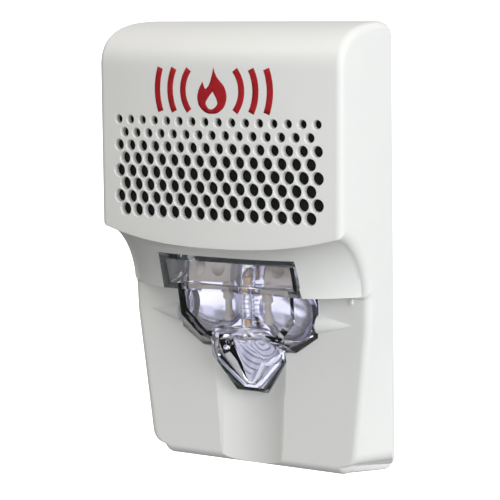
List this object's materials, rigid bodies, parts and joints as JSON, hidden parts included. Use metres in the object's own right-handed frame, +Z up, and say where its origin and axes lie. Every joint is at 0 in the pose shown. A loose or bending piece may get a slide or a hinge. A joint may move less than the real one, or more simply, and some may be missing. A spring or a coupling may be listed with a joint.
{
  "type": "horn strobe",
  "caption": "Compact one-gang wall alarm horn and strobe: crowned cover with a drilled grille above a coved brow, clear multi-form lens, and lift-off cover over a base with board and terminals.",
  "frame": {"origin": "centre of the flat back of the base plate, on the wall plane", "axes": "+Z up along the long side, -Y out of the front, +X to the right seen from the front"},
  "size_m": [0.0698, 0.031, 0.1142],
  "materials": {
    "white_moulding": "satin, fine moulded texture",
    "black_moulding": "satin",
    "black_cloth": "open weave",
    "clear_moulding": "clear, polished",
    "tube_glass": "clear",
    "bright_metallised": "vacuum metallised",
    "plated_steel": "zinc plated",
    "brass_sheet": "bright",
    "ceramic": "fired, silvered",
    "rubber_foam": "closed cell foam",
    "green_board": "solder mask",
    "green_terminal": "satin",
    "capacitor_sleeve": "shrink sleeve",
    "transformer_tape": "tape wound",
    "ferrite": "sintered",
    "copper_wire": "enamelled copper"
  },
  "bodies": {
    "base": {"base_plate": "white_moulding", "horn_housing": "black_moulding", "horn_cap": "black_moulding", "piezo_retainer": "black_moulding", "candela_switch_body": "black_moulding", "tone_switch_body": "black_moulding", "volume_switch_body": "black_moulding", "control_chip": "black_moulding", "bridge_rectifier": "black_moulding", "power_transistor": "black_moulding", "lens": "clear_moulding", "flash_tube": "tube_glass", "reflector": "bright_metallised", "tube_cap_upper": "plated_steel", "tube_cap_lower": "plated_steel", "tube_lead_upper": "plated_steel", "tube_lead_lower": "plated_steel", "board_screw_1": "plated_steel", "board_screw_2": "plated_steel", "board_screw_3": "plated_steel", "board_screw_4": "plated_steel", "piezo_plate": "brass_sheet", "piezo_ceramic": "ceramic", "lens_gasket": "rubber_foam", "horn_gasket": "rubber_foam", "circuit_board": "green_board", "terminal_block": "green_terminal", "flash_capacitor": "capacitor_sleeve", "trigger_transformer": "transformer_tape", "inductor_core": "ferrite", "inductor_winding": "copper_wire"},
    "cover": {"front_cover": "white_moulding", "grille_screen": "black_cloth"},
    "candela_slider": {"candela_switch_slider": "white_moulding"},
    "tone_slider": {"tone_switch_slider": "white_moulding"},
    "volume_slider": {"volume_switch_slider": "white_moulding"},
    "screw_1": {"terminal_screw_1": "plated_steel"},
    "clamp_1": {"terminal_clamp_1": "plated_steel"},
    "screw_2": {"terminal_screw_2": "plated_steel"},
    "clamp_2": {"terminal_clamp_2": "plated_steel"},
    "screw_3": {"terminal_screw_3": "plated_steel"},
    "clamp_3": {"terminal_clamp_3": "plated_steel"},
    "screw_4": {"terminal_screw_4": "plated_steel"},
    "clamp_4": {"terminal_clamp_4": "plated_steel"}
  },
  "joints": [
    {"name": "cover_lift_off", "type": "slide", "parent": "base", "child": "cover", "axis": [0, -1, 0], "range_m": [0, 0.03]},
    {"name": "candela_select", "type": "slide", "parent": "base", "child": "candela_slider", "axis": [1, 0, 0], "range_m": [0, 0.009]},
    {"name": "tone_select", "type": "slide", "parent": "base", "child": "tone_slider", "axis": [1, 0, 0], "range_m": [0, 0.003]},
    {"name": "volume_select", "type": "slide", "parent": "base", "child": "volume_slider", "axis": [1, 0, 0], "range_m": [0, 0.003]},
    {"name": "screw_1_turn", "type": "hinge", "parent": "base", "child": "screw_1", "pos_m": [0.01094, -0.008, -0.047], "axis": [0, -1, 0], "range_deg": [0, 720]},
    {"name": "clamp_1_travel", "type": "slide", "parent": "base", "child": "clamp_1", "axis": [0, -1, 0], "range_m": [0, 0.001]},
    {"name": "screw_2_turn", "type": "hinge", "parent": "base", "child": "screw_2", "pos_m": [0.01602, -0.008, -0.047], "axis": [0, -1, 0], "range_deg": [0, 720]},
    {"name": "clamp_2_travel", "type": "slide", "parent": "base", "child": "clamp_2", "axis": [0, -1, 0], "range_m": [0, 0.001]},
    {"name": "screw_3_turn", "type": "hinge", "parent": "base", "child": "screw_3", "pos_m": [0.0211, -0.008, -0.047], "axis": [0, -1, 0], "range_deg": [0, 720]},
    {"name": "clamp_3_travel", "type": "slide", "parent": "base", "child": "clamp_3", "axis": [0, -1, 0], "range_m": [0, 0.001]},
    {"name": "screw_4_turn", "type": "hinge", "parent": "base", "child": "screw_4", "pos_m": [0.02618, -0.008, -0.047], "axis": [0, -1, 0], "range_deg": [0, 720]},
    {"name": "clamp_4_travel", "type": "slide", "parent": "base", "child": "clamp_4", "axis": [0, -1, 0], "range_m": [0, 0.001]}
  ],
  "couplings": [
    {"joint": "screw_1_turn", "follows": "clamp_1_travel", "rad_per_m": 12566},
    {"joint": "screw_2_turn", "follows": "clamp_2_travel", "rad_per_m": 12566},
    {"joint": "screw_3_turn", "follows": "clamp_3_travel", "rad_per_m": 12566},
    {"joint": "screw_4_turn", "follows": "clamp_4_travel", "rad_per_m": 12566}
  ]
}
